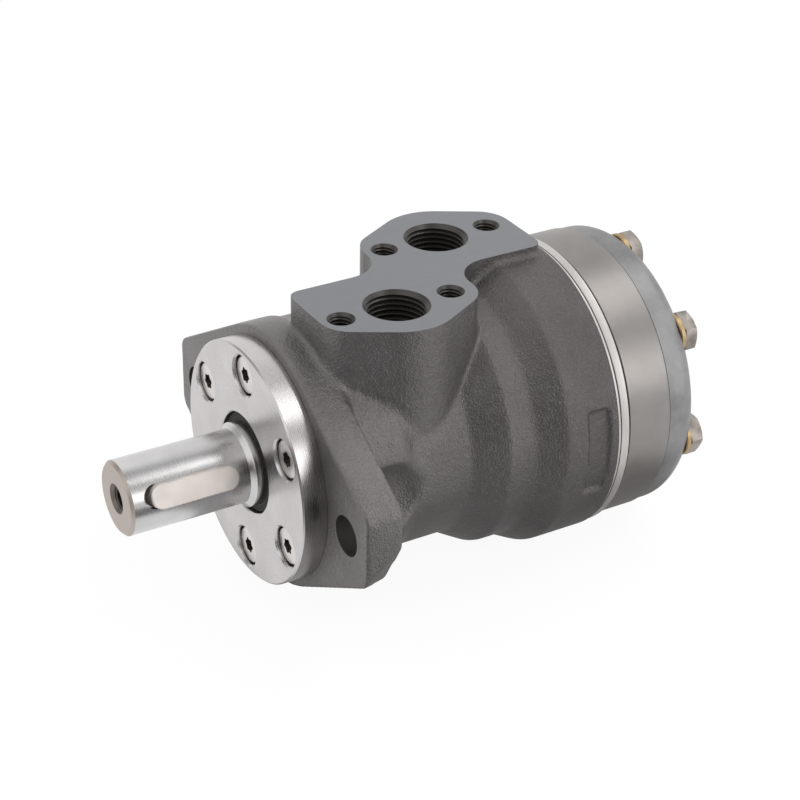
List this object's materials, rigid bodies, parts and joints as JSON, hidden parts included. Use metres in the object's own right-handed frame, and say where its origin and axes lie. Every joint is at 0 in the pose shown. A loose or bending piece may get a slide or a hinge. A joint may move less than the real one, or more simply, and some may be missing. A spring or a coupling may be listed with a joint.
{
  "type": "orbital hydraulic motor",
  "caption": "Orbital hydraulic motor with an oval mounting flange, keyed output shaft, threaded ports on a raised face and an inner roller gear set.",
  "frame": {"origin": "centre of the mounting flange's front face, on the shaft axis", "axes": "-Y along the shaft toward its output end, +Z toward the port face, X across the flange's ears"},
  "size_m": [0.132, 0.1965, 0.1068],
  "materials": {
    "casting": "matt cast skin",
    "ground_steel": "ground",
    "turned_steel": "fine turned",
    "key_steel": "ground",
    "dark_steel": "ground",
    "end_cover": "blasted",
    "screw_steel": "plain",
    "yellow_zinc": "passivated",
    "washer_copper": "plain",
    "cage_brass": "plain",
    "seal_rubber": "moulded"
  },
  "bodies": {
    "motor": {"housing": "casting", "front_cover": "turned_steel", "front_cover_screws": "screw_steel", "front_cover_seal": "seal_rubber", "dust_seal": "seal_rubber", "shaft_seal": "seal_rubber", "shaft_seal_spring": "screw_steel", "seal_support_ring": "ground_steel", "thrust_race": "ground_steel", "housing_rear_seal": "seal_rubber", "distributor_plate": "turned_steel", "ring_front_seal": "seal_rubber", "gear_ring": "dark_steel", "ring_rear_seal": "seal_rubber", "end_cover": "end_cover", "end_cover_bolts": "yellow_zinc", "bolt_washers": "washer_copper", "check_plugs": "screw_steel", "drain_plug": "screw_steel", "drain_washer": "washer_copper"},
    "shaft": {"output_shaft": "ground_steel", "shaft_key": "key_steel"},
    "needle_cage": {"thrust_needle_cage": "cage_brass"},
    "spacer": {"drive_spacer": "ground_steel"},
    "rotor": {"rotor": "ground_steel"},
    "link": {"drive_link": "dark_steel"},
    "check_left": {"check_ball_left": "ground_steel"},
    "check_right": {"check_ball_right": "ground_steel"},
    "roller_1": {"roller_1": "ground_steel"},
    "roller_2": {"roller_2": "ground_steel"},
    "roller_3": {"roller_3": "ground_steel"},
    "roller_4": {"roller_4": "ground_steel"},
    "roller_5": {"roller_5": "ground_steel"},
    "roller_6": {"roller_6": "ground_steel"},
    "roller_7": {"roller_7": "ground_steel"}
  },
  "joints": [
    {"name": "shaft_spin", "type": "hinge", "parent": "motor", "child": "shaft", "pos_m": [0, 0, 0], "axis": [0, -1, 0], "continuous": true},
    {"name": "needle_cage_spin", "type": "hinge", "parent": "motor", "child": "needle_cage", "pos_m": [0, 0.008, 0], "axis": [0, -1, 0], "continuous": true},
    {"name": "rotor_orbit", "type": "hinge", "parent": "motor", "child": "spacer", "pos_m": [0, 0.1172, 0], "axis": [0, -1, 0], "continuous": true},
    {"name": "rotor_spin", "type": "hinge", "parent": "spacer", "child": "rotor", "pos_m": [0, 0.1172, 0.0029], "axis": [0, -1, 0], "continuous": true},
    {"name": "link_spin", "type": "hinge", "parent": "spacer", "child": "link", "pos_m": [0, 0.051, 0], "axis": [0, -0.999, -0.0438], "continuous": true},
    {"name": "roller_1_spin", "type": "hinge", "parent": "motor", "child": "roller_1", "pos_m": [-0.01388, 0.1172, 0.02883], "axis": [0, -1, 0], "continuous": true},
    {"name": "roller_2_spin", "type": "hinge", "parent": "motor", "child": "roller_2", "pos_m": [-0.0312, 0.1172, 0.00712], "axis": [0, -1, 0], "continuous": true},
    {"name": "roller_3_spin", "type": "hinge", "parent": "motor", "child": "roller_3", "pos_m": [-0.02502, 0.1172, -0.01995], "axis": [0, -1, 0], "continuous": true},
    {"name": "roller_4_spin", "type": "hinge", "parent": "motor", "child": "roller_4", "pos_m": [0, 0.1172, -0.032], "axis": [0, -1, 0], "continuous": true},
    {"name": "roller_5_spin", "type": "hinge", "parent": "motor", "child": "roller_5", "pos_m": [0.02502, 0.1172, -0.01995], "axis": [0, -1, 0], "continuous": true},
    {"name": "roller_6_spin", "type": "hinge", "parent": "motor", "child": "roller_6", "pos_m": [0.0312, 0.1172, 0.00712], "axis": [0, -1, 0], "continuous": true},
    {"name": "roller_7_spin", "type": "hinge", "parent": "motor", "child": "roller_7", "pos_m": [0.01388, 0.1172, 0.02883], "axis": [0, -1, 0], "continuous": true},
    {"name": "check_left_lift", "type": "slide", "parent": "motor", "child": "check_left", "axis": [0, 1, 0], "range_m": [0, 0.0012]},
    {"name": "check_right_lift", "type": "slide", "parent": "motor", "child": "check_right", "axis": [0, 1, 0], "range_m": [0, 0.0012]}
  ],
  "couplings": [
    {"joint": "needle_cage_spin", "follows": "shaft_spin", "ratio": 0.5},
    {"joint": "rotor_orbit", "follows": "shaft_spin", "ratio": -6},
    {"joint": "rotor_spin", "follows": "shaft_spin", "ratio": 7},
    {"joint": "link_spin", "follows": "shaft_spin", "ratio": 7},
    {"joint": "roller_1_spin", "follows": "shaft_spin", "ratio": -4},
    {"joint": "roller_2_spin", "follows": "shaft_spin", "ratio": -4},
    {"joint": "roller_3_spin", "follows": "shaft_spin", "ratio": -4},
    {"joint": "roller_4_spin", "follows": "shaft_spin", "ratio": -4},
    {"joint": "roller_5_spin", "follows": "shaft_spin", "ratio": -4},
    {"joint": "roller_6_spin", "follows": "shaft_spin", "ratio": -4},
    {"joint": "roller_7_spin", "follows": "shaft_spin", "ratio": -4}
  ]
}
